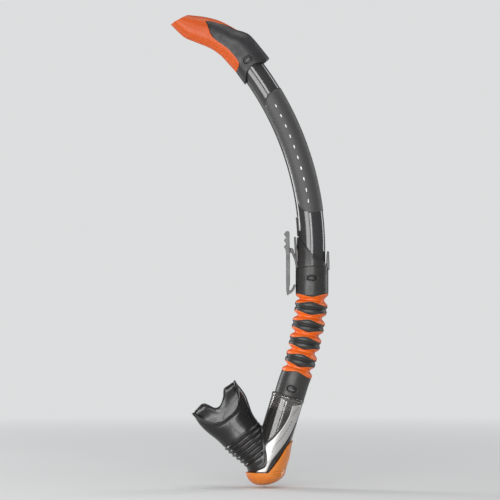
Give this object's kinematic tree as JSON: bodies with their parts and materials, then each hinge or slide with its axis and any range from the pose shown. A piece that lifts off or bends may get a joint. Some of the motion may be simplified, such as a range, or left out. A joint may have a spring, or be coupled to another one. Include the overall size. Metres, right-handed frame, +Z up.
{
  "type": "snorkel",
  "caption": "Semi-dry snorkel: bent barrel with splash hood, strap keeper, corrugated flex hose, drain chamber with purge valve, and a soft mouthpiece on a ribbed neck.",
  "frame": {"origin": "centre of the strap pad on the keeper lever's inner face", "axes": "+Z up along the straight barrel, +X from the strap pad towards the barrel, so the mouthpiece lies towards -X; the part is symmetric about y = 0"},
  "size_m": [0.151, 0.0376, 0.4475],
  "materials": {
    "barrel_grey": "semi-gloss moulded, matte textured panel",
    "rubber_dark": "soft satin rubber",
    "hood_orange": "satin soft-touch moulding",
    "inner_dark": "satin",
    "lever_grey": "satin acetal",
    "pin_steel": "satin",
    "cuff_grey": "satin rubber",
    "web_orange": "satin rubber",
    "chamber_smoke": "glossy smoky clear plastic",
    "trim_silver": "satin metallic inlay",
    "cover_amber": "glossy translucent",
    "silicone_smoke": "glossy translucent silicone"
  },
  "bodies": {
    "barrel": {"barrel": "barrel_grey", "splash_hood": "hood_orange", "hood_collar": "rubber_dark", "splash_baffle": "inner_dark", "keeper_sleeve": "rubber_dark", "keeper_pin": "pin_steel", "upper_cuff": "cuff_grey", "flex_web_1": "web_orange"},
    "lever": {"keeper_lever": "lever_grey"},
    "ring_1": {"flex_ring_1": "cuff_grey", "flex_web_2": "web_orange"},
    "ring_2": {"flex_ring_2": "cuff_grey", "flex_web_3": "web_orange"},
    "ring_3": {"flex_ring_3": "cuff_grey", "flex_web_4": "web_orange"},
    "ring_4": {"flex_ring_4": "cuff_grey", "flex_web_5": "web_orange"},
    "chamber": {"lower_cuff": "cuff_grey", "drain_chamber": "chamber_smoke", "chamber_trim": "trim_silver", "purge_cover": "cover_amber", "valve_seat": "inner_dark", "mouthpiece_collar": "silicone_smoke", "mouthpiece_bellows": "silicone_smoke"},
    "mouthpiece": {"mouthpiece": "silicone_smoke"},
    "valve": {"purge_valve": "silicone_smoke"}
  },
  "joints": [
    {"name": "flex_1", "type": "hinge", "parent": "barrel", "child": "ring_1", "pos_m": [0.021, 0, -0.0274], "axis": [0, 1, 0], "range_deg": [-5, 8], "stiffness_Nm_per_rad": 1.5, "deforming": ["flex_web_1"]},
    {"name": "flex_2", "type": "hinge", "parent": "ring_1", "child": "ring_2", "pos_m": [0.01885, 0, -0.04376], "axis": [0, 1, 0], "range_deg": [-5, 8], "stiffness_Nm_per_rad": 1.5, "deforming": ["flex_web_2"]},
    {"name": "flex_3", "type": "hinge", "parent": "ring_2", "child": "ring_3", "pos_m": [0.01598, 0, -0.06001], "axis": [0, 1, 0], "range_deg": [-5, 8], "stiffness_Nm_per_rad": 1.5, "deforming": ["flex_web_3"]},
    {"name": "flex_4", "type": "hinge", "parent": "ring_3", "child": "ring_4", "pos_m": [0.01255, 0, -0.07615], "axis": [0, 1, 0], "range_deg": [-5, 8], "stiffness_Nm_per_rad": 1.5, "deforming": ["flex_web_4"]},
    {"name": "flex_5", "type": "hinge", "parent": "ring_4", "child": "chamber", "pos_m": [0.00828, 0, -0.09209], "axis": [0, 1, 0], "range_deg": [-5, 8], "stiffness_Nm_per_rad": 1.5, "deforming": ["flex_web_5"]},
    {"name": "keeper_open", "type": "hinge", "parent": "barrel", "child": "lever", "pos_m": [0.0017, 0, 0.0192], "axis": [0, 1, 0], "range_deg": [0, 13], "stiffness_Nm_per_rad": 0.05},
    {"name": "mouthpiece_flex", "type": "hinge", "parent": "chamber", "child": "mouthpiece", "pos_m": [-0.03584, 0, -0.14919], "axis": [0, 1, 0], "range_deg": [-7, 7], "stiffness_Nm_per_rad": 0.3, "deforming": ["mouthpiece_bellows"]},
    {"name": "purge_lift", "type": "slide", "parent": "chamber", "child": "valve", "axis": [0, 0, -1], "range_m": [0, 0.0012], "stiffness_N_per_m": 30}
  ],
  "couplings": [
    {"joint": "flex_2", "follows": "flex_1", "ratio": 1},
    {"joint": "flex_3", "follows": "flex_1", "ratio": 1},
    {"joint": "flex_4", "follows": "flex_1", "ratio": 1},
    {"joint": "flex_5", "follows": "flex_1", "ratio": 1}
  ]
}
